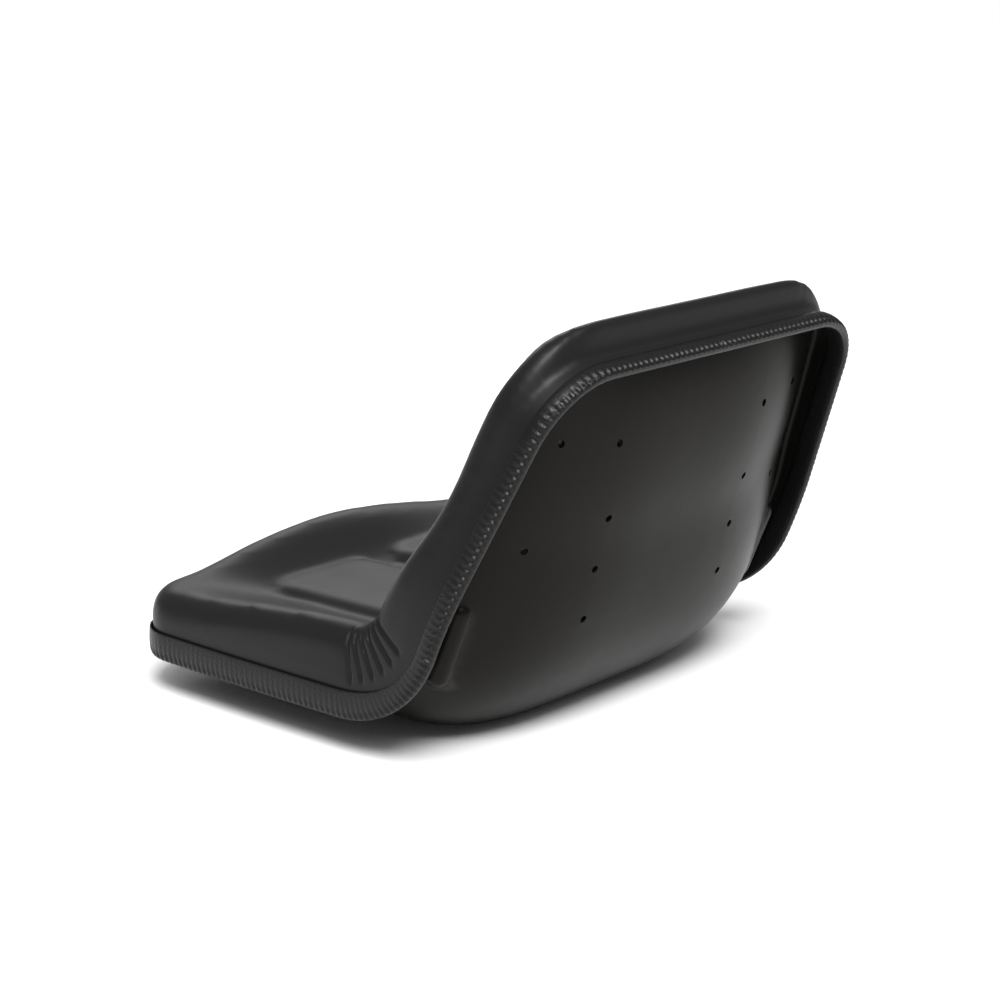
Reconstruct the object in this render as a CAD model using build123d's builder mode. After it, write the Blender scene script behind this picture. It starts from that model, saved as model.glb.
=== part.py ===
"""Bucket seat for a garden machine: a pressed steel pan, a foam cushion, a formed
vinyl cover and the clip-on edge trim that clamps the cover to the lip of the pan.

Frame: origin at the centre of the mounting holes, on the flat underside of the pan.
+Z up, -Y towards the front edge of the seat, +X towards the sitter's left. Millimetres.
A run is a distance along the lip, seen from the side: negative on the seat, zero where the
corner begins, then round the corner and up the back. Heights stand square to the lip surface.
"""
import os
from math import cos, radians, sin, sqrt

from build123d import *

os.makedirs("parts", exist_ok=True)

# Lip of the pan
lip_height = 34.5            # lip edge of the seat above the mounting face
corner_y = 95.0              # where the seat run ends and the corner begins
corner_radius = 117.0        # lip edge between seat and back, seen from the side
back_angle = 65.3            # back run above the horizontal, degrees
seat_length = 267.0          # front corners to the start of the corner
back_length = 246.0          # end of the corner to the top lip
corner_half_width = 241.0    # half width over the lip at the corner
front_half_width = 235.0     # at the front
top_half_width = 196.0       # at the top
front_bow = 8.0              # forward bow of the front edge
front_round = 50.0           # plan radius of the front corners
top_round = 70.0             # radius of the top corners
taper_start = 36.0           # where the back begins to narrow, above the corner
taper_round = 330.0          # radius of that bend in the side outline

# Sheet, skin and edging
pan_thickness = 1.5
cover_thickness = 1.5
foam_clearance = 0.5         # foam inside the pan's walls
trim_leg = 2.4               # wall of the edge trim
trim_web = 2.6               # trim below the lip edge
trim_outer_depth = 23.0
trim_inner_depth = 17.0
trim_clearance = 0.1         # trim off the lip and off the cover
cover_clearance = 0.1        # cover off the outside of the lip
lip_margin = 10.0            # clear band inside the lip
surface_margin = 30.0        # free-form surfaces reach this far past the lip before they are cut
surface_rise = 1.1           # highest share of the pan's climb in that margin

# Bowl of the pan: depths below the lip surface along the middle
pan_front_depth = 30.0
pan_seat_depth = 41.0
pan_back_low_depth = 28.0
pan_back_mid_depth = 16.5
pan_back_top_depth = -6.0
pan_deep_front = -150.0      # run where the seat has its full depth
pan_deep_rear = 40.0
pan_back_mid = 110.0         # up the back from the corner
pan_rim_height = 38.0        # shoulder of the pan along the walls
pan_rim_round = 6.0
pan_end_run = 85.0           # length over which the pan climbs at the front and the top
pan_end_power = 2.4
pan_power = 2.8              # how square the bowl is across, under the seat and up the back
pan_corner_power = 4.2       # squarer round the corner

# Cushion: heights above the lip surface
crest_front = 57.5
crest_corner = 76.0
crest_back = 58.0
crest_fade = 120.0           # length of back over which the corner crest drops
crest_round = 20.0
front_crown = 19.0           # rise of the front crest in the middle
front_crown_half = 210.0     # half width of that rise
front_flat = 24.0            # width of the front crest
front_roll = 52.0            # its slope towards the dish
top_flat = 20.0              # width of the top crest
top_roll = 65.0              # its slope towards the dish
seat_dish = 41.0             # cushion surface in the middle of the seat
back_dish = 38.0
bolster_width = 92.0
bolster_slope = 0.8          # share of a bolster that slopes
top_bulge = 24.0             # cushion above the top lip
bulge_round = 26.0           # added to the radius of its corners
bulge_start = 25.0
bulge_end = 37.0

# Seat pads
pad_height = 8.0
pad_inner = 17.0
pad_outer = 132.0
pad_front = -202.0
pad_rear = -8.0
pad_round = 26.0
pad_edge_round = 5.0

# Flutes in the side of the cover, radial to the corner
flute_count = 6
flute_radius = 4.5
flute_depth = 2.4
flute_inner = 50.0
flute_outer = 86.0
flute_first = 10.0           # degrees round the corner
flute_pitch = 9.0

# Vent holes in the back: place across and place up the back
vent_radius = 3.25
vents = ((156, 178), (98, 175), (92, 109), (167, 85), (92, 62), (92, 16))

# Stiffening bead beside the lip at each lower corner
bead_x = 204.0
bead_start = 94.0
bead_end = 158.0
bead_radius = 12.0
bead_rise = 5.5

# Mounting holes and weld nuts in the flat of the pan
mount_spacing_x = 152.0
mount_spacing_y = 128.0
mount_hole_radius = 4.25     # pan and nut alike, the thread left plain
nut_across_flats = 13.0
nut_height = 6.5
nut_clearance = 0.5

# Values worked out from the sizes above
turn = radians(back_angle)
arc_run = corner_radius * turn
front_run = -seat_length
top_run = arc_run + back_length
reach = 2 * (corner_half_width + seat_length + back_length)
trim_inside = cover_clearance + pan_thickness + trim_clearance
trim_outside = cover_thickness + trim_clearance
column_low = -lip_height - pan_seat_depth
column_high = corner_radius - surface_margin / 3
surface_floor = 2 * column_low
lip_plane = Plane(origin=(0, corner_y, lip_height))
corner_centre = Vector(0, corner_y, lip_height + corner_radius)
corner_axis = Axis(corner_centre, (1, 0, 0))
back_origin = corner_centre + Vector(0, corner_radius * sin(turn), -corner_radius * cos(turn))
back_plane = Plane(origin=back_origin, x_dir=(1, 0, 0), z_dir=(0, -sin(turn), cos(turn)))


def on_rim(run, x, height):
    """Point at a run along the lip, a place across and a height above the lip surface."""
    if run <= 0:
        return lip_plane.from_local_coords(Vector(x, run, height))
    if run >= arc_run:
        return back_plane.from_local_coords(Vector(x, run - arc_run, height))
    angle = run / corner_radius
    radius = corner_radius - height
    return corner_centre + Vector(x, radius * sin(angle), -radius * cos(angle))


def half_width(run):
    """Half width of the lip outline at a run, its corners left square."""
    if run <= 0:
        return corner_half_width + (front_half_width - corner_half_width) * (run / front_run) ** 2
    if run <= arc_run + taper_start:
        return corner_half_width
    share = (run - arc_run - taper_start) / (back_length - taper_start)
    return corner_half_width + (top_half_width - corner_half_width) * share


def ease(value):
    """Smooth step from 0 to 1."""
    value = min(1.0, max(0.0, value))
    return value * value * (3 - 2 * value)


def blend(run, stations):
    """Smooth value along the run through a few stations."""
    for (low, first), (high, second) in zip(stations, stations[1:]):
        if run <= high:
            return first + (second - first) * ease((run - low) / (high - low))
    return stations[-1][1]


def pan_height(run, x):
    """Upper face of the pan: a bowl that climbs to a shoulder at its walls."""
    middle = -blend(run, (
        (front_run, pan_front_depth),
        (pan_deep_front, pan_seat_depth),
        (pan_deep_rear, pan_seat_depth),
        (arc_run, pan_back_low_depth),
        (arc_run + pan_back_mid, pan_back_mid_depth),
        (top_run, pan_back_top_depth),
    ))
    power = blend(run, (
        (pan_deep_front, pan_power),
        (arc_run / 2, pan_corner_power),
        (arc_run + pan_back_mid, pan_power),
    ))
    across = min(surface_rise, abs(x) / half_width(run)) ** power
    front = max(0.0, 1 - (run - front_run) / pan_end_run) ** pan_end_power
    top = max(0.0, 1 - (top_run - run) / pan_end_run) ** pan_end_power
    climb = 1 - (1 - across) * (1 - front) * (1 - top)
    return middle + (pan_rim_height - middle) * climb


def cushion_height(run, x):
    """Outer face of the cushion: a dish between rounded bolsters, a front crest and a top crest."""
    crest = blend(run, (
        (front_run, crest_front),
        (0, crest_corner),
        (arc_run, crest_corner),
        (arc_run + crest_fade, crest_back),
    ))
    dish = blend(run, ((0, seat_dish), (arc_run, back_dish)))
    side = ease((abs(x) - half_width(run) + bolster_width) / (bolster_width * bolster_slope))
    front = ease(1 - (run - front_run - front_flat) / front_roll)
    top = ease(1 - (top_run - top_flat - run) / top_roll)
    crown = front_crown * front * ease(1 - abs(x) / front_crown_half)
    return dish + (crest - dish) * (1 - (1 - side) * (1 - front) * (1 - top)) + crown


def lowered(height, run, x, depth):
    """Height of a surface moved inwards by a depth, measured square to the surface."""
    step = 0.5
    along = (height(run + step, x) - height(run - step, x)) / (2 * step)
    across = (height(run, x + step) - height(run, x - step)) / (2 * step)
    return height(run, x) - depth * sqrt(1 + along ** 2 + across ** 2)


def below(height, depth, sections=19, steps=12):
    """Solid under a height surface moved inwards by a depth, lofted from sections along the lip."""
    first = front_run - surface_margin
    last = top_run + surface_margin
    side = corner_half_width + surface_margin
    wires = []
    for i in range(sections):
        run = first + (last - first) * i / (sections - 1)
        places = [side * (2 * j / steps - 1) for j in range(steps + 1)]
        points = [on_rim(run, x, lowered(height, run, x, depth)) for x in places]
        with BuildLine() as section:
            add(Edge.make_spline(points, parameters=[j / steps for j in range(steps + 1)]))
            Polyline(points[-1], on_rim(run, side, surface_floor),
                     on_rim(run, -side, surface_floor), points[0])
        wires.append(section.wire())
    return Solid.make_loft(wires)


def seat_plan(height, grow):
    """Outline of the seat run, grown sideways, at a height above the lip plane: three long arcs."""
    side_arc = ((corner_half_width - front_half_width) ** 2 + seat_length ** 2) / (
        2 * (corner_half_width - front_half_width))
    front_arc = (front_half_width ** 2 + front_bow ** 2) / (2 * front_bow)
    with BuildSketch(lip_plane.offset(height)) as plan:
        with Locations((0, front_arc - seat_length - front_bow)):
            Circle(front_arc + grow)
        for side in (-1, 1):
            with Locations((side * (corner_half_width - side_arc), 0)):
                Circle(side_arc + grow, mode=Mode.INTERSECT)
        Rectangle(reach, 4 * seat_length, mode=Mode.INTERSECT)
        fillet(plan.vertices().sort_by(Axis.Y)[:2], front_round + grow)
    return plan.sketch


def back_plan(height, grow, rise):
    """Outline of the back run, grown sideways and raised at the top, at a height above its lip plane."""
    with BuildSketch(back_plane.offset(height)) as plan:
        with BuildLine():
            Polyline((corner_half_width, taper_start), (corner_half_width, -taper_start),
                     (-corner_half_width, -taper_start), (-corner_half_width, taper_start),
                     (-top_half_width, back_length + rise), (top_half_width, back_length + rise),
                     (corner_half_width, taper_start))
        make_face()
        fillet(plan.vertices().sort_by(Axis.Y)[-2:], top_round + bulge_round * rise / top_bulge)
        fillet(plan.vertices().filter_by(lambda corner: abs(corner.Y - taper_start) < 0.01), taper_round)
        offset(amount=grow)
    return plan.sketch


def column(grow, low, high, rise=0.0):
    """Solid within the lip outline, grown sideways, between two heights; a rise swells the top edge."""
    with BuildPart() as back_run:
        extrude(back_plan(low, grow, 0), amount=high - low)
        if rise:
            loft([back_plan(bulge_start, grow, 0), back_plan(bulge_end, grow, rise)])
            extrude(back_plan(bulge_end, grow, rise), amount=high - bulge_end)
        split(bisect_by=Plane(origin=back_origin, z_dir=back_plane.y_dir))
    with BuildPart() as whole:
        extrude(seat_plan(low, grow), amount=high - low)
        split(bisect_by=Plane(origin=(0, corner_y, 0), z_dir=(0, -1, 0)))
        with BuildSketch(Plane(origin=corner_centre, x_dir=(1, 0, 0), z_dir=(0, -1, 0))):
            with Locations((0, (low + high) / 2 - corner_radius)):
                Rectangle(2 * (corner_half_width + grow), high - low)
        revolve(axis=corner_axis, revolution_arc=back_angle)
        add(back_run)
    return whole.part


def lip_ring(inner, outer, low, high):
    """Band that follows the lip outline, between two growths and two heights."""
    with BuildPart() as band:
        add(column(outer, low, high))
        add(column(inner, low, high), mode=Mode.SUBTRACT)
    return band.part


def crown_edges(solid):
    """Edges round the large free-form face of a solid."""
    return solid.faces().filter_by(GeomType.BSPLINE).sort_by(SortBy.AREA)[-1].edges()


def bowl(grow, depth):
    """Everything on the outer side of the pan's sheet, within the grown lip outline."""
    with BuildPart() as floor:
        add(column(grow, column_low, column_high))
        with Locations((0, 0, pan_thickness - depth)):
            Box(reach, reach, reach, align=(Align.CENTER, Align.CENTER, Align.MAX), mode=Mode.INTERSECT)
    with BuildPart() as filled:
        add(column(grow, column_low, column_high))
        add(below(pan_height, depth), mode=Mode.INTERSECT)
        fillet(crown_edges(filled), pan_rim_round - depth)
        add(floor)
    return filled.part


def bead(radius):
    """Capsule that presses the stiffening beads outwards, on both sides."""
    rise = bead_radius - bead_rise
    start = on_rim(bead_start, bead_x, pan_height(bead_start, bead_x) + rise)
    end = on_rim(bead_end, bead_x, pan_height(bead_end, bead_x) + rise)
    with BuildPart() as capsule:
        with BuildSketch(Plane(origin=start, z_dir=end - start)):
            Circle(radius)
        extrude(amount=(end - start).length)
        with Locations(start, end):
            Sphere(radius)
        mirror(about=Plane.YZ)
    return capsule.part


def flutes(radius):
    """Round cutters along the flutes on both sides of the cover."""
    axis_x = corner_half_width + cover_thickness + flute_radius - flute_depth
    with BuildPart() as cutter:
        for i in range(flute_count):
            angle = radians(flute_first + i * flute_pitch)
            outward = Vector(0, sin(angle), -cos(angle))
            start = corner_centre + Vector(axis_x, 0, 0) + outward * flute_inner
            with BuildSketch(Plane(origin=start, z_dir=outward)):
                Circle(radius)
            extrude(amount=flute_outer - flute_inner)
            with Locations(start, start + outward * (flute_outer - flute_inner)):
                Sphere(radius)
        mirror(about=Plane.YZ)
    return cutter.part


def pads(inset):
    """Raised seat pads, inset on all sides."""
    with BuildPart() as pair:
        with BuildSketch(lip_plane.offset(seat_dish / 2)):
            for side in (-1, 1):
                with Locations((side * (pad_inner + pad_outer) / 2, (pad_front + pad_rear) / 2)):
                    RectangleRounded(pad_outer - pad_inner - 2 * inset, pad_rear - pad_front - 2 * inset,
                                     pad_round - inset)
        extrude(amount=seat_dish / 2 + pad_height - inset)
        fillet(pair.edges().group_by(Axis.Z)[-1], pad_edge_round - inset)
    return pair.part


def nut(gap):
    """Weld nut on the floor of the pan, or the pocket round it."""
    with BuildPart() as hexagon:
        with BuildSketch():
            RegularPolygon(nut_across_flats / 2 + gap, 6, major_radius=False)
            if not gap:
                Circle(mount_hole_radius, mode=Mode.SUBTRACT)
        extrude(amount=nut_height + gap)
    return hexagon.part


def cushion(inset, low):
    """Solid form of the cushion within the cover, or within the inside of the cover."""
    with BuildPart() as form:
        add(column(cover_thickness - inset, low, column_high, rise=top_bulge))
        add(below(cushion_height, inset), mode=Mode.INTERSECT)
        fillet(crown_edges(form), crest_round - inset)
        add(pads(inset))
        add(flutes(flute_radius + inset), mode=Mode.SUBTRACT)
    return form.part


# Steel pan: the bowl, its shoulder and the turned lip, all one sheet
with BuildPart() as pan_hollow:
    add(bowl(-cover_clearance - pan_thickness, pan_thickness))
    add(lip_ring(-lip_margin, trim_leg, column_low, 0))
    add(bead(bead_radius), mode=Mode.SUBTRACT)
with BuildPart() as steel_pan:
    add(bowl(-cover_clearance, 0))
    add(pan_hollow, mode=Mode.SUBTRACT)
    add(bead(bead_radius - pan_thickness), mode=Mode.SUBTRACT)
    with GridLocations(mount_spacing_x, mount_spacing_y, 2, 2):
        Cylinder(mount_hole_radius, lip_height, mode=Mode.SUBTRACT)
    with Locations([back_plane * Pos(side * across, up, 0) for side in (-1, 1) for across, up in vents]):
        Cylinder(vent_radius, 2 * pan_rim_height, mode=Mode.SUBTRACT)
steel_pan.part.label = "steel_pan"
export_step(steel_pan.part, "parts/steel_pan.step")

# Weld nuts over the mounting holes
with BuildPart() as mounting_nuts:
    with Locations((0, 0, pan_thickness)):
        with GridLocations(mount_spacing_x, mount_spacing_y, 2, 2):
            add(nut(0))
mounting_nuts.part.label = "mounting_nuts"
export_step(mounting_nuts.part, "parts/mounting_nuts.step")

# Edge trim: a channel that grips the cover and the lip all the way round
with BuildPart() as edge_trim:
    add(lip_ring(-trim_inside - trim_leg, trim_outside + trim_leg, -trim_web, trim_outer_depth))
    add(lip_ring(-trim_inside, trim_outside, 0, column_high), mode=Mode.SUBTRACT)
    add(lip_ring(-lip_margin, -trim_inside, trim_inner_depth, column_high), mode=Mode.SUBTRACT)
edge_trim.part.label = "edge_trim"
export_step(edge_trim.part, "parts/edge_trim.step")

# Vinyl cover: one formed skin from lip to lip
foam_form = cushion(cover_thickness, column_low)
with BuildPart() as vinyl_cover:
    add(cushion(0, 0))
    add(foam_form, mode=Mode.SUBTRACT)
vinyl_cover.part.label = "vinyl_cover"
export_step(vinyl_cover.part, "parts/vinyl_cover.step")

# Foam cushion: fills the cover down to the pan, with pockets for the nuts
with BuildPart() as foam_cushion:
    add(foam_form)
    add(bowl(foam_clearance, 0), mode=Mode.SUBTRACT)
    with Locations((0, 0, pan_thickness)):
        with GridLocations(mount_spacing_x, mount_spacing_y, 2, 2):
            add(nut(nut_clearance), mode=Mode.SUBTRACT)
foam_cushion.part.label = "foam_cushion"
export_step(foam_cushion.part, "parts/foam_cushion.step")
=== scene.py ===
# %% [markdown]
# # A bucket seat, dressed over its solids
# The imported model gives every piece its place, in metres, with the mounting face at height zero.
# This lesson rebuilds the soft cover and the edge trim as real meshes, smooths the pressed pan,
# gives each surface a procedural finish, and sets up a plain studio.

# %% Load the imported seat
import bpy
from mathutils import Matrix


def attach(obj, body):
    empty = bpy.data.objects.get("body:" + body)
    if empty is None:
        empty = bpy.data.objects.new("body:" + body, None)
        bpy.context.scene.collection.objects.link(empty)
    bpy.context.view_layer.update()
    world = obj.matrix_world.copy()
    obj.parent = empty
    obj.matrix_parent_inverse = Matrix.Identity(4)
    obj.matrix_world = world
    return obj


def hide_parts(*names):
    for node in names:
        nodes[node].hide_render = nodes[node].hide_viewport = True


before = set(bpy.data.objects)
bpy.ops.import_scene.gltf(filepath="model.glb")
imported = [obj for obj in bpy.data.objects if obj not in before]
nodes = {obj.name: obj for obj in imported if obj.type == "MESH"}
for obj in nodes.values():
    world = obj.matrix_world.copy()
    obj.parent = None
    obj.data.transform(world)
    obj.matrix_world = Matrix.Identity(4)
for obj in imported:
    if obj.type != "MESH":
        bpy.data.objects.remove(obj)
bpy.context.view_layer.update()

import math

import bmesh
import bpy
from mathutils import Matrix, Vector
from mathutils.bvhtree import BVHTree

print("nodes:", sorted(nodes))

# %% [markdown]
# ## Sizes shared with the solids
# The trim follows the lip of the pan, so the lip's own sizes come first. They are the same
# values as in the part's source, turned into metres. The side of the seat and its front edge are very
# long arcs, which is why two of these radii are metres long.

# %% Sizes of the lip
mm = 0.001
lip_height = 34.5 * mm
corner_y = 95 * mm
corner_radius = 117 * mm
back_angle = math.radians(65.3)
seat_length = 267 * mm
back_length = 246 * mm
corner_half = 241 * mm
front_half = 235 * mm
top_half = 196 * mm
front_bow = 8 * mm
front_round = 50 * mm
top_round = 70 * mm
taper_start = 36 * mm
taper_round = 330 * mm
side_arc = ((corner_half - front_half) ** 2 + seat_length ** 2) / (2 * (corner_half - front_half))
front_arc = (front_half ** 2 + front_bow ** 2) / (2 * front_bow)
back_up = Vector((0, math.cos(back_angle), math.sin(back_angle)))
back_out = Vector((0, -math.sin(back_angle), math.cos(back_angle)))
corner_centre = Vector((0, corner_y, lip_height + corner_radius))
back_start = corner_centre - corner_radius * back_out
print(f"side arc {side_arc:.2f} m, front arc {front_arc:.2f} m")

# %% Places along the lip, and a finished piece


def above_lip(point):
    """Run along the lip and height above the lip surface of a point, seen from the side."""
    y, z = point.y - corner_y, point.z - lip_height
    if y <= 0:
        return y, z
    angle = math.atan2(y, corner_radius - z)
    if angle <= back_angle:
        return corner_radius * angle, corner_radius - math.hypot(y, corner_radius - z)
    local = point - back_start
    return corner_radius * back_angle + local.dot(back_up), local.dot(back_out)


def smooth_step(value):
    """Eases from 0 to 1."""
    value = min(1.0, max(0.0, value))
    return value * value * (3 - 2 * value)


def relax(tool, verts, passes):
    """Draws vertices of a bmesh half way to their neighbours, a few times."""
    for _ in range(passes):
        bmesh.ops.smooth_vert(tool, verts=verts, factor=0.5, use_axis_x=True, use_axis_y=True,
                              use_axis_z=True)


def finish_piece(name, mesh, smooth_angle):
    """Makes an object of a mesh, smooth but for its sharp edges, riding on the seat."""
    piece = bpy.data.objects.new(name, mesh)
    bpy.context.scene.collection.objects.link(piece)
    mesh.polygons.foreach_set("use_smooth", [True] * len(mesh.polygons))
    mesh.set_sharp_from_angle(angle=math.radians(smooth_angle))
    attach(piece, "root")
    print(name, len(mesh.polygons), "faces")
    return piece


# %% [markdown]
# ## The edge trim
# On the real seat this is an extruded plastic channel, pushed over the lip and the hem of the cover.
# An extrusion has one section, so that section is drawn once at the middle of the front edge
# and carried along the lip with spin for each bend and extrude for each straight. Half the way is
# enough: the other half is its mirror image. Each ring remembers its station, so that the moulded
# notches along the free edge can be pressed in afterwards.

# %% Where the bends of the lip begin and end
front_centre = Vector((0, corner_y - seat_length - front_bow + front_arc, lip_height))
side_centre = Vector((corner_half - side_arc, corner_y, lip_height))
gap = side_centre - front_centre
reach_front = front_arc - front_round
reach_side = side_arc - front_round
along = (reach_front ** 2 - reach_side ** 2 + gap.length ** 2) / (2 * gap.length)
off = math.sqrt(reach_front ** 2 - along ** 2)
across = Vector((-gap.y, gap.x, 0)).normalized()
options = [front_centre + gap.normalized() * along + across * off * s for s in (-1, 1)]
round_centre = max(options, key=lambda point: point.x - point.y)


def heading(centre, other):
    """Angle about Z from one centre to another."""
    return math.atan2(other.y - centre.y, other.x - centre.x)


front_turn = heading(front_centre, round_centre) + math.pi / 2
side_turn = -heading(side_centre, round_centre)
corner_turn = math.pi / 2 - front_turn - side_turn
taper = math.atan2(corner_half - top_half, back_length - taper_start)
top_turn = math.pi / 2 - taper
taper_tangent = taper_round * math.tan(taper / 2)
top_tangent = top_round * math.tan(top_turn / 2)
side_straight = math.hypot(corner_half - top_half, back_length - taper_start) - taper_tangent - top_tangent
top_straight = top_half - top_tangent
bends = (front_turn, corner_turn, side_turn, taper, top_turn)
print("bends, degrees:", [round(math.degrees(angle), 1) for angle in bends])

# %% The section of the trim and its way along the lip
trim_section = (
    (2.5, 21.6), (2.8, 22.7), (3.4, 23.1), (4.1, 22.6), (4.4, 21.4), (4.9, 17.0), (5.2, 12.0), (5.2, 8.0),
    (5.1, 5.6), (5.0, 3.4), (4.6, 0.8), (3.7, -1.2), (2.1, -2.4), (0.0, -2.8), (-2.1, -2.4), (-3.5, -1.3),
    (-4.2, 0.6), (-4.4, 4.0), (-4.3, 9.0), (-4.1, 14.5), (-3.7, 16.3), (-2.9, 17.0), (-2.1, 16.4),
    (-1.8, 15.0), (-1.8, 7.0), (-1.8, -0.1), (1.65, -0.1), (1.65, 8.0), (1.7, 16.0),
)
notch_places = {5: 0.1, 6: 0.2, 7: 0.3, 8: 0.5, 9: 1.0, 10: 1.3, 11: 1.1, 12: 0.3}
notch_pitch = 6.5 * mm
notch_steps = 4
notch_stations = (1, 2)
station_step = notch_pitch / notch_steps
leg_start = 3.4 * mm
leg_length = 19.7 * mm
leg_narrowing = 10 * mm
seam_gap = 0.02 * mm


class LipSweep:
    """Carries a ring of vertices along the lip, one short step at a time."""

    def __init__(self, bm, section):
        self.bm = bm
        self.station = bm.verts.layers.int.new("station")
        self.place = bm.verts.layers.int.new("place")
        self.count = 0
        start = Vector((0, corner_y - seat_length - front_bow, lip_height))
        verts = [bm.verts.new(start + Vector((0, -out * mm, up * mm))) for out, up in section]
        for number, vert in enumerate(verts):
            vert[self.place] = number
        edges = [bm.edges.new((a, b)) for a, b in zip(verts, verts[1:] + verts[:1])]
        self.ring = verts + edges

    def keep(self, ring):
        self.ring = [item for item in ring if not isinstance(item, bmesh.types.BMFace)]
        self.count += 1
        for item in self.ring:
            if isinstance(item, bmesh.types.BMVert):
                item[self.station] = self.count

    def bend(self, centre, axis, angle, radius):
        steps = max(2, round(abs(angle) * radius / station_step))
        for _ in range(steps):
            made = bmesh.ops.spin(self.bm, geom=self.ring, cent=centre, axis=axis, angle=angle / steps,
                                  steps=1, use_merge=False, use_duplicate=False)
            self.keep(made["geom_last"])

    def straight(self, direction, length):
        steps = max(1, round(length / station_step))
        for _ in range(steps):
            edges = [item for item in self.ring if isinstance(item, bmesh.types.BMEdge)]
            made = bmesh.ops.extrude_edge_only(self.bm, edges=edges)
            verts = [item for item in made["geom"] if isinstance(item, bmesh.types.BMVert)]
            bmesh.ops.translate(self.bm, verts=verts, vec=direction * length / steps)
            self.keep(made["geom"])


def along_lip(bm, section):
    """Sweeps a section from the middle of the front, round the seat, to the middle of the top."""
    sweep = LipSweep(bm, section)
    upright = Vector((0, 0, 1))
    sweep.bend(front_centre, upright, front_turn, front_arc)
    sweep.bend(round_centre, upright, corner_turn, front_round)
    sweep.bend(side_centre, upright, side_turn, side_arc)
    sweep.bend(corner_centre, Vector((1, 0, 0)), back_angle, corner_radius)
    sweep.straight(back_up, taper_start - taper_tangent)
    place = back_start + Vector((corner_half, 0, 0)) + back_up * (taper_start - taper_tangent)
    sweep.bend(place - Vector((taper_round, 0, 0)), back_out, taper, taper_round)
    lean = back_up * math.cos(taper) - Vector((math.sin(taper), 0, 0))
    inward = -Vector((math.cos(taper), 0, 0)) - back_up * math.sin(taper)
    sweep.straight(lean, side_straight)
    place = place + back_up * taper_tangent + lean * (taper_tangent + side_straight)
    sweep.bend(place + inward * top_round, back_out, top_turn, top_round)
    sweep.straight(Vector((-1, 0, 0)), top_straight)
    return sweep


# %% [markdown]
# On the back the padding swells round the trim, and the photograph shows a narrower band there than
# beside the seat. The outer leg is drawn in along the corner to match.

# %% How far the outer leg is drawn in


def away_from_lip(point):
    """Direction straight away from the plane of the lip, from the seat round to the back."""
    run = above_lip(point)[0]
    if run <= 0:
        return Vector((0, 0, 1))
    if run >= corner_radius * back_angle:
        return back_out
    inward = corner_centre - point
    inward.x = 0
    return inward.normalized()


def draw_in(vert, out, up):
    """Lowers a vertex of the outer leg, in full once the back is reached."""
    share = smooth_step(above_lip(vert.co)[0] / (corner_radius * back_angle))
    raised = (up * mm - leg_start) / leg_length
    if out > 0 and raised > 0:
        vert.co -= away_from_lip(vert.co) * leg_narrowing * raised * share


# %% Edge trim with moulded notches
trim_mesh = bpy.data.meshes.new("edge_trim_channel")
bm = bmesh.new()
sweep = along_lip(bm, trim_section)
bmesh.ops.recalc_face_normals(bm, faces=bm.faces[:])
bm.normal_update()
last = max(vert.co.x for vert in bm.verts if vert[sweep.station] == sweep.count)
for vert in bm.verts:
    if vert[sweep.station] % notch_steps in notch_stations:
        vert.co -= vert.normal * notch_places.get(vert[sweep.place], 0.0) * mm
    draw_in(vert, *trim_section[vert[sweep.place]])
    if vert[sweep.station] in (0, sweep.count):
        vert.co.x = 0
bmesh.ops.mirror(bm, geom=bm.verts[:] + bm.edges[:] + bm.faces[:], merge_dist=seam_gap, axis="X")
bmesh.ops.recalc_face_normals(bm, faces=bm.faces[:])
bm.to_mesh(trim_mesh)
bm.free()
edge_trim = finish_piece("edge_trim_channel", trim_mesh, smooth_angle=28)
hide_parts("edge_trim")
print(f"the sweep closes within {abs(last) * 1000:.2f} mm, {sweep.count} stations")

# %% [markdown]
# ## The pressed pan
# The pan's solid already has the right shape. Its mesh is loose triangles, though, and a glossy paint
# shows every one of them. A copy with its corners merged can be shaded smoothly, so the copy stands
# for the solid.

# %% Pan with merged corners
merge_gap = 0.01 * mm


def merged_copy(*names):
    """One bmesh of the faces of some solids, with shared corners."""
    tool = bmesh.new()
    for name in names:
        tool.from_mesh(nodes[name].data)
    bmesh.ops.remove_doubles(tool, verts=tool.verts[:], dist=merge_gap)
    return tool


pan_mesh = bpy.data.meshes.new("pressed_pan")
bm = merged_copy("steel_pan")
bm.to_mesh(pan_mesh)
bm.free()
pan = finish_piece("pressed_pan", pan_mesh, smooth_angle=35)
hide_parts("steel_pan")

# %% [markdown]
# ## The cover
# The cover is a formed vinyl skin drawn tight over foam. The outer faces of its solid, given some depth,
# make a closed form, which a voxel remesh turns into even quads. Cloth with a little pressure then
# swells it, while the hem and the inner side are held. The swell is capped, and averaged between
# neighbours, so it stays slight: the form is the solid's own. Only the skin is kept afterwards. The
# flutes at the sides are narrower than the quads can hold, so they are pressed in at the end.

# %% Outer faces of the cover, and a closed block
touching = 0.3 * mm
block_depth = 12 * mm
bm = merged_copy("foam_cushion", "steel_pan")
under_tree = BVHTree.FromBMesh(bm)
bm.free()
bm = merged_copy("vinyl_cover")
lining = []
for face in bm.faces:
    middle = face.calc_center_median()
    touches = under_tree.find_nearest(middle)[3] < touching
    faced = under_tree.ray_cast(middle + face.normal * merge_gap, face.normal, block_depth)[0]
    if touches or faced:
        lining.append(face)
bmesh.ops.delete(bm, geom=lining, context="FACES")
skin_tree = BVHTree.FromBMesh(bm)
print("outer faces of the cover:", len(bm.faces))
bmesh.ops.solidify(bm, geom=bm.faces[:], thickness=block_depth)
block_mesh = bpy.data.meshes.new("cushion_block")
bm.to_mesh(block_mesh)
bm.free()


# %% Even quads by a voxel remesh
def evaluated_mesh(piece, name):
    """Mesh of an object with its modifiers worked out."""
    bpy.context.view_layer.update()
    shown = piece.evaluated_get(bpy.context.evaluated_depsgraph_get())
    mesh = bpy.data.meshes.new_from_object(shown)
    mesh.name = name
    return mesh


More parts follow.
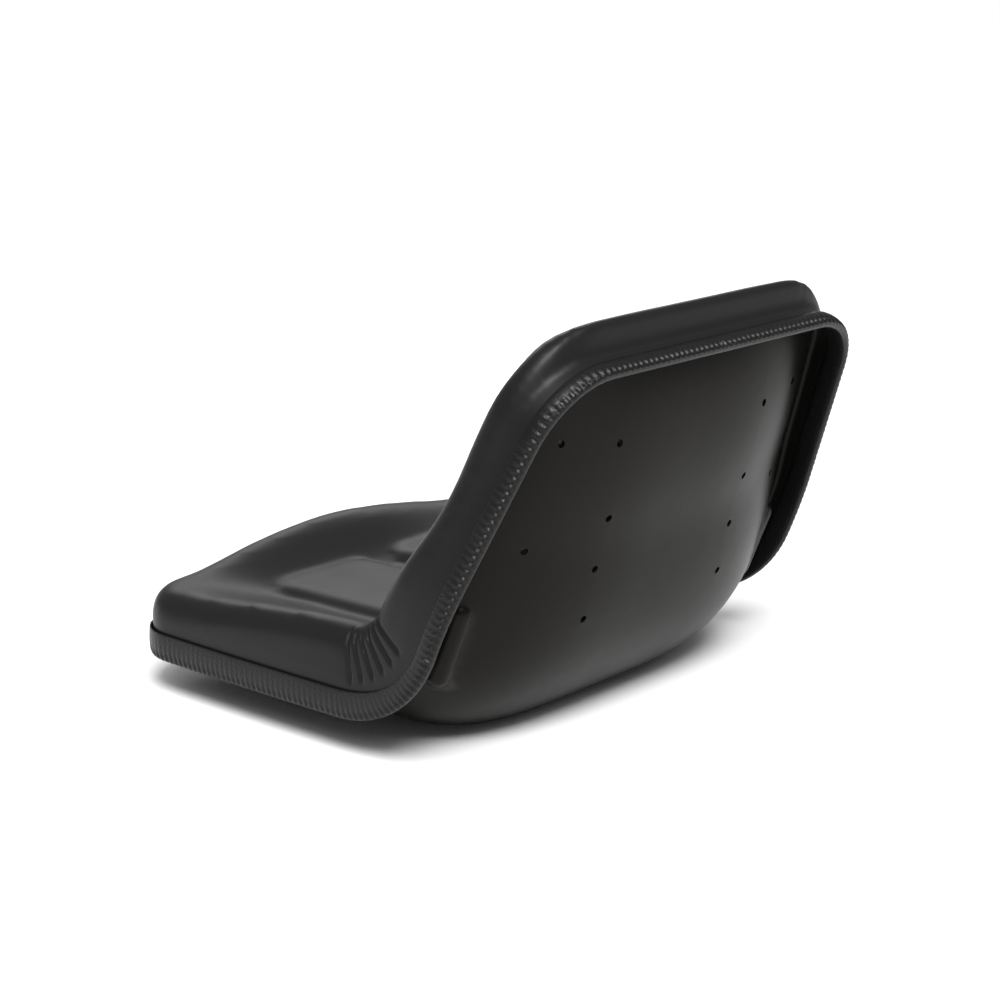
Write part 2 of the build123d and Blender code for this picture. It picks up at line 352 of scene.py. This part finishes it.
def remeshed(mesh, voxel, name):
    """Closed mesh of even quads over the form of a mesh."""
    block = bpy.data.objects.new(name, mesh)
    bpy.context.scene.collection.objects.link(block)
    even = block.modifiers.new("even", "REMESH")
    even.mode = "VOXEL"
    even.voxel_size = voxel
    result = evaluated_mesh(block, name)
    bpy.data.objects.remove(block)
    return result


skin_voxel = 5 * mm
skin_mesh = remeshed(block_mesh, skin_voxel, "vinyl_cover_skin")
print("even quads:", len(skin_mesh.polygons))

# %% Smooth out the voxel steps, and find the skin
hem_height = 26 * mm
hem_blend = 16 * mm
skin_reach = 5 * mm
voxel_passes = 2
bm = bmesh.new()
bm.from_mesh(skin_mesh)
relax(bm, bm.verts[:], voxel_passes)
bm.normal_update()
skin_layer = bm.faces.layers.int.new("skin")
skin_count = 0
for face in bm.faces:
    distance = skin_tree.find_nearest(face.calc_center_median())[3]
    face[skin_layer] = int(distance < skin_reach)
    skin_count += face[skin_layer]
held = {}
for vert in bm.verts:
    height = above_lip(vert.co)[1]
    free = all(face[skin_layer] for face in vert.link_faces)
    held[vert.index] = 1 - smooth_step((height - hem_height) / hem_blend) if free else 1.0
bm.to_mesh(skin_mesh)
bm.free()
print("skin quads:", skin_count)

# %% Cloth under a little pressure
cloth_frames = 20
cloth_cap = 2 * mm
cloth_calm = 14
cloth_pressure = 4
cloth_quality = 3
swollen = bpy.data.objects.new("cushion_cloth", skin_mesh)
bpy.context.scene.collection.objects.link(swollen)
group = swollen.vertex_groups.new(name="held")
for number, weight in held.items():
    group.add([number], weight, "REPLACE")
rest_places = [vert.co.copy() for vert in skin_mesh.vertices]
cloth = swollen.modifiers.new("cloth", "CLOTH")
cloth.settings.vertex_group_mass = "held"
cloth.settings.quality = cloth_quality
cloth.settings.use_pressure = True
cloth.settings.uniform_pressure_force = cloth_pressure
cloth.settings.effector_weights.gravity = 0
cloth.point_cache.frame_end = cloth_frames
for number in range(1, cloth_frames + 1):
    bpy.context.scene.frame_set(number)
cloth_mesh = evaluated_mesh(swollen, "cushion_swollen")
bpy.context.scene.frame_set(1)
swell = []
for vert, shown, start in zip(skin_mesh.vertices, cloth_mesh.vertices, rest_places):
    out = (shown.co - start).dot(vert.normal)
    swell.append(min(cloth_cap, max(-cloth_cap, out)))
print(f"cloth swells {min(swell) * 1000:.1f} to {max(swell) * 1000:.1f} mm")
near = [[] for _ in skin_mesh.vertices]
for edge in skin_mesh.edges:
    first, second = edge.vertices
    near[first].append(second)
    near[second].append(first)
for _ in range(cloth_calm):
    swell = [(own + sum(swell[i] for i in others)) / (1 + len(others))
             for own, others in zip(swell, near)]
normals = [vert.normal.copy() for vert in skin_mesh.vertices]
for vert, start, normal, out in zip(skin_mesh.vertices, rest_places, normals, swell):
    vert.co = start + normal * out * (1 - held[vert.index])
print(f"kept swell {min(swell) * 1000:.1f} to {max(swell) * 1000:.1f} mm")
bpy.data.objects.remove(swollen)

# %% Keep the skin and draw its hem back to the lip
hem_depth = 0.35 * mm
hole_sides = 60
patch_passes = 1
bm = bmesh.new()
bm.from_mesh(skin_mesh)
skin_layer = bm.faces.layers.int["skin"]
bmesh.ops.delete(bm, geom=[face for face in bm.faces if not face[skin_layer]], context="FACES")
rim = [edge for edge in bm.edges if edge.is_boundary]
bmesh.ops.holes_fill(bm, edges=rim, sides=hole_sides)
relax(bm, [vert for vert in bm.verts if not vert.is_boundary], patch_passes)
for vert in bm.verts:
    height = above_lip(vert.co)[1]
    hold = 1 - smooth_step((height - hem_height) / hem_blend)
    if hold > 0:
        place, normal, _, _ = skin_tree.find_nearest(vert.co)
        vert.co = vert.co.lerp(place - normal * hem_depth, hold)
bm.to_mesh(skin_mesh)
bm.free()
rough = bpy.data.objects.new("skin_rough", skin_mesh)
bpy.context.scene.collection.objects.link(rough)
finer = rough.modifiers.new("finer", "SUBSURF")
finer.levels = 1
finer.render_levels = 1
skin_mesh = evaluated_mesh(rough, "vinyl_cover_skin")
bpy.data.objects.remove(rough)
print("finer skin:", len(skin_mesh.polygons), "quads")

# %% Flutes pressed into the sides
flute_first = 10
flute_pitch = 9
flute_count = 6
flute_angles = [math.radians(flute_first + flute_pitch * number) for number in range(flute_count)]
flute_near = 42 * mm
flute_far = 92 * mm
flute_fade = 10 * mm
flute_half = 2.8 * mm
flute_depth = 1.9 * mm
flute_crest = 26 * mm
flute_crest_fade = 16 * mm
flute_side = 40 * mm
flute_passes = 6
calm_margin = 12 * mm
press_margin = 4 * mm
hem_turn = 0.8 * mm
hem_turn_ease = 100 * mm
bm = bmesh.new()
bm.from_mesh(skin_mesh)


def flute_zone(point, margin):
    """Angle round the corner and distance from its centre, where the flutes are."""
    local = point - corner_centre
    angle = math.atan2(local.y, -local.z)
    radius = math.hypot(local.y, local.z)
    turned_in = flute_angles[0] - margin / flute_far < angle < flute_angles[-1] + margin / flute_far
    reached = flute_near - margin < radius < flute_far + margin
    if turned_in and reached and abs(point.x) > corner_half - flute_side:
        return angle, radius
    return None


relax(bm, [vert for vert in bm.verts if flute_zone(vert.co, calm_margin)], flute_passes)
edges = {edge for vert in bm.verts if flute_zone(vert.co, press_margin) for edge in vert.link_edges}
bmesh.ops.subdivide_edges(bm, edges=list(edges), cuts=1, use_grid_fill=True)
bm.normal_update()
pressed = []
for vert in bm.verts:
    zone = flute_zone(vert.co, press_margin)
    if zone:
        angle, radius = zone
        ends = smooth_step((radius - flute_near) / flute_fade)
        ends *= smooth_step((flute_far - radius) / flute_fade)
        crest = smooth_step((abs(vert.co.x) - corner_half + flute_crest) / flute_crest_fade)
        nearest = min(abs(angle - flute) * radius for flute in flute_angles)
        depth = flute_depth * ends * crest * max(0.0, 1 - (nearest / flute_half) ** 2)
        pressed.append((vert, vert.normal * depth))
for vert, move in pressed:
    vert.co -= move
hem = [edge for edge in bm.edges if edge.is_boundary]
made = bmesh.ops.extrude_edge_only(bm, edges=hem)
for vert in made["geom"]:
    if isinstance(vert, bmesh.types.BMVert):
        vert.co.x -= math.copysign(hem_turn, vert.co.x) * min(1.0, abs(vert.co.x) / hem_turn_ease)
bm.to_mesh(skin_mesh)
bm.free()
print("vertices in the flutes:", len(pressed))

# %% Cover in place
cover = finish_piece("vinyl_cover_skin", skin_mesh, smooth_angle=80)
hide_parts("vinyl_cover")

# %% [markdown]
# ## The foam
# Foam fills the cover and shows only as a pale spot through the vent holes of the pan. A remeshed copy of
# its solid, drawn in a little so that it never breaks through the skin, is enough.

# %% Foam core
foam_inset = 6 * mm
foam_voxel = 8 * mm
foam_passes = 1
bm = merged_copy("foam_cushion")
core_mesh = bpy.data.meshes.new("foam_core")
bm.to_mesh(core_mesh)
bm.free()
core_mesh = remeshed(core_mesh, foam_voxel, "foam_core")
bm = bmesh.new()
bm.from_mesh(core_mesh)
bm.normal_update()
for vert in bm.verts:
    vert.co -= vert.normal * foam_inset
relax(bm, bm.verts[:], foam_passes)
bm.to_mesh(core_mesh)
bm.free()
foam = finish_piece("foam_core", core_mesh, smooth_angle=80)
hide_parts("foam_cushion")

# %% [markdown]
# ## Finishes
# Every finish is made of nodes on Object coordinates, so a grain keeps its real size. A small class
# lets sums of sockets be written as plain Python, and one method makes every other node.


# %% Sockets that can be written in sums
class Level:
    """A socket with a value, which can be added, taken away and multiplied."""

    def __init__(self, finish, socket):
        self.finish = finish
        self.socket = socket

    def sum(self, operation, first, second):
        return self.finish.node("ShaderNodeMath", {"operation": operation}, {0: first, 1: second})

    def __add__(self, other):
        return self.sum("ADD", self, other)

    def __radd__(self, other):
        return self.sum("ADD", other, self)

    def __sub__(self, other):
        return self.sum("SUBTRACT", self, other)

    def __rsub__(self, other):
        return self.sum("SUBTRACT", other, self)

    def __mul__(self, other):
        return self.sum("MULTIPLY", self, other)

    def __rmul__(self, other):
        return self.sum("MULTIPLY", other, self)


class Finish:
    """A procedural material and the nodes that make it."""

    def __init__(self, name, shader):
        self.material = bpy.data.materials.new(name)
        self.material.use_nodes = True
        self.tree = self.material.node_tree
        self.shader = self.tree.nodes["Principled BSDF"]
        for socket, value in shader.items():
            self.feed(self.shader.inputs[socket], value)
        self.place = self.node("ShaderNodeTexCoord", {}, {}, "Object")

    def feed(self, socket, value):
        if isinstance(value, Level):
            self.tree.links.new(value.socket, socket)
        else:
            socket.default_value = value

    def node(self, kind, settings, inputs, output=0):
        made = self.tree.nodes.new(kind)
        for name, value in settings.items():
            setattr(made, name, value)
        for name, value in inputs.items():
            self.feed(made.inputs[name], value)
        return Level(self, made.outputs[output])

    def noise(self, scale, detail=2.0):
        return self.node("ShaderNodeTexNoise", {},
                         {"Vector": self.place, "Scale": scale, "Detail": detail}, "Fac")

    def cells(self, scale):
        return self.node("ShaderNodeTexVoronoi", {"feature": "SMOOTH_F1"},
                         {"Vector": self.place, "Scale": scale}, "Distance")

    def ease(self, value, low, high):
        return self.node("ShaderNodeMapRange", {"interpolation_type": "SMOOTHSTEP"},
                         {"Value": value, "From Min": low, "From Max": high})

    def tint(self, share, first, second):
        return self.node("ShaderNodeMix", {"data_type": "RGBA"}, {0: share, 6: first, 7: second}, 2)

    def relief(self, height, strength, distance):
        return self.node("ShaderNodeBump", {}, {"Height": height, "Strength": strength, "Distance": distance})

    def set(self, socket, value):
        self.feed(self.shader.inputs[socket], value)

    def wear(self, *pieces):
        for piece in pieces:
            piece.data.materials.clear()
            piece.data.materials.append(self.material)
        print(self.material.name, len(self.tree.nodes), "nodes")


# %% Satin vinyl
vinyl = Finish("satin_vinyl", {"IOR": 1.5, "Specular IOR Level": 0.15})
cloudy = vinyl.noise(7.0, 3.0)
vinyl.set("Base Color", vinyl.tint(cloudy, (0.008, 0.0076, 0.008, 1), (0.012, 0.0115, 0.012, 1)))
vinyl.set("Roughness", 0.34 + 0.10 * vinyl.noise(24.0, 4.0))
creases = vinyl.node("ShaderNodeTexWave", {"bands_direction": "DIAGONAL"},
                     {"Vector": vinyl.place, "Scale": 34.0, "Distortion": 5.0, "Detail": 2.0}, "Fac")
crease_across, crease_up, crease_out = 150 * mm, 232 * mm, 34 * mm
crease_edge, crease_core = 70 * mm, 15 * mm
drawn = 0.0
for side in (-1, 1):
    corner = back_start + Vector((side * crease_across, 0, 0)) + back_up * crease_up + back_out * crease_out
    away = vinyl.node("ShaderNodeVectorMath", {"operation": "DISTANCE"},
                      {0: vinyl.place, 1: corner}, "Value")
    drawn = vinyl.ease(away, crease_edge, crease_core) + drawn
grain = vinyl.cells(820.0) * 0.10 + vinyl.noise(160.0, 3.0) * 0.12 + creases * drawn * 0.35
vinyl.set("Normal", vinyl.relief(grain, 0.25, 0.6 * mm))
vinyl.wear(cover)

# %% Semi-gloss paint
paint = Finish("pan_paint", {"IOR": 1.2, "Specular Tint": (1.0, 0.96, 0.86, 1)})
uneven = paint.noise(5.0, 2.0)
paint.set("Base Color", paint.tint(uneven, (0.004, 0.0037, 0.0034, 1), (0.006, 0.0056, 0.0052, 1)))
paint.set("Roughness", 0.27 + 0.10 * paint.noise(14.0, 4.0))
paint.set("Normal", paint.relief(paint.noise(110.0, 2.0), 0.06, 0.3 * mm))
paint.wear(pan)

# %% Grained trim plastic
plastic = Finish("grained_trim", {"IOR": 1.5, "Specular IOR Level": 0.22})
uneven = plastic.noise(30.0, 2.0)
plastic.set("Base Color", plastic.tint(uneven, (0.004, 0.004, 0.0043, 1), (0.007, 0.007, 0.0074, 1)))
leather = plastic.cells(560.0)
plastic.set("Roughness", 0.32 + 0.14 * leather)
plastic.set("Normal", plastic.relief(leather + 0.3 * plastic.noise(900.0, 2.0), 0.55, 0.5 * mm))
plastic.wear(edge_trim)

# %% Foam and plated nuts
sponge = Finish("seat_foam", {"Roughness": 0.95})
pores = sponge.cells(420.0)
sponge.set("Base Color", sponge.tint(pores, (0.30, 0.27, 0.22, 1), (0.50, 0.46, 0.39, 1)))
sponge.set("Normal", sponge.relief(pores, 0.6, 0.8 * mm))
sponge.wear(foam)
plating = Finish("plated_nut", {"Metallic": 1.0, "Base Color": (0.55, 0.55, 0.56, 1)})
plating.set("Roughness", 0.28 + 0.2 * plating.noise(320.0, 3.0))
plating.wear(nodes["mounting_nuts"])

# %% [markdown]
# ## The studio
# A pale floor fills the view. A soft sun and a wide panel shine down from behind the camera, so the
# shadow falls away from it and the floor under the pan is lit, which the pan mirrors at a low angle. A
# weak panel beyond the seat is mirrored in the flat tops of the pads.

# %% Floor
floor_reach = 80
floor_mesh = bpy.data.meshes.new("floor")
bm = bmesh.new()
bmesh.ops.create_grid(bm, x_segments=1, y_segments=1, size=floor_reach)
bm.to_mesh(floor_mesh)
bm.free()
floor = bpy.data.objects.new("floor", floor_mesh)
bpy.context.scene.collection.objects.link(floor)
pale = Finish("pale_floor", {"Roughness": 0.8, "Specular IOR Level": 0.1})
pale.set("Base Color", pale.tint(pale.noise(1.5, 1.0), (0.86, 0.86, 0.86, 1), (0.88, 0.88, 0.88, 1)))
pale.wear(floor)

# %% Camera at the photograph's angle
azimuth = 2.30455
elevation = 0.250367
roll = -0.0173924
distance = 1.93218
lens = 79.2
sensor = 36
target = Vector((25.213, 82.163, 169.784)) * mm
view_dir = Vector((-math.sin(azimuth) * math.cos(elevation), math.cos(azimuth) * math.cos(elevation),
                   -math.sin(elevation)))
level = Vector((math.cos(azimuth), math.sin(azimuth), 0))
upward = level.cross(view_dir)
right = level * math.cos(roll) + upward * math.sin(roll)
upward = upward * math.cos(roll) - level * math.sin(roll)
camera_data = bpy.data.cameras.new("camera")
camera_data.lens = lens
camera_data.sensor_width = sensor
camera = bpy.data.objects.new("camera", camera_data)
bpy.context.scene.collection.objects.link(camera)
turned = Matrix((right, upward, -view_dir)).transposed().to_4x4()
camera.matrix_world = Matrix.Translation(target - view_dir * distance) @ turned
bpy.context.scene.camera = camera

# %% Light


def soft_light(name, place, aim, width, height, power, colour):
    """Rectangular soft light at a place, turned to a point."""
    data = bpy.data.lights.new(name, "AREA")
    data.shape = "RECTANGLE"
    data.size = width
    data.size_y = height
    data.energy = power
    data.color = colour
    lamp = bpy.data.objects.new(name, data)
    bpy.context.scene.collection.objects.link(lamp)
    lamp.location = place
    lamp.rotation_euler = (Vector(aim) - Vector(place)).to_track_quat("-Z", "Y").to_euler()


sun_strength = 3.55
sun_width = math.radians(28)
sun_travel = Vector((-0.35, -0.45, -0.82))
world_strength = 0.28
daylight = bpy.data.lights.new("daylight", "SUN")
daylight.energy = sun_strength
daylight.angle = sun_width
sky = bpy.data.objects.new("daylight", daylight)
bpy.context.scene.collection.objects.link(sky)
sky.rotation_euler = sun_travel.to_track_quat("-Z", "Y").to_euler()
soft_light("overhead", (0.8, 0.9, 1.9), (0, 0.05, 0.15), 2.6, 1.8, 34, (0.97, 0.98, 1.0))
soft_light("beyond", (-1.6, -1.7, 1.3), (0, 0, 0.1), 2.0, 0.9, 13, (1.0, 0.99, 0.98))
world = bpy.data.worlds.new("studio")
world.use_nodes = True
world.node_tree.nodes["Background"].inputs["Color"].default_value = (1, 1, 1, 1)
world.node_tree.nodes["Background"].inputs["Strength"].default_value = world_strength
bpy.context.scene.world = world
bpy.context.scene.view_settings.view_transform = "Standard"
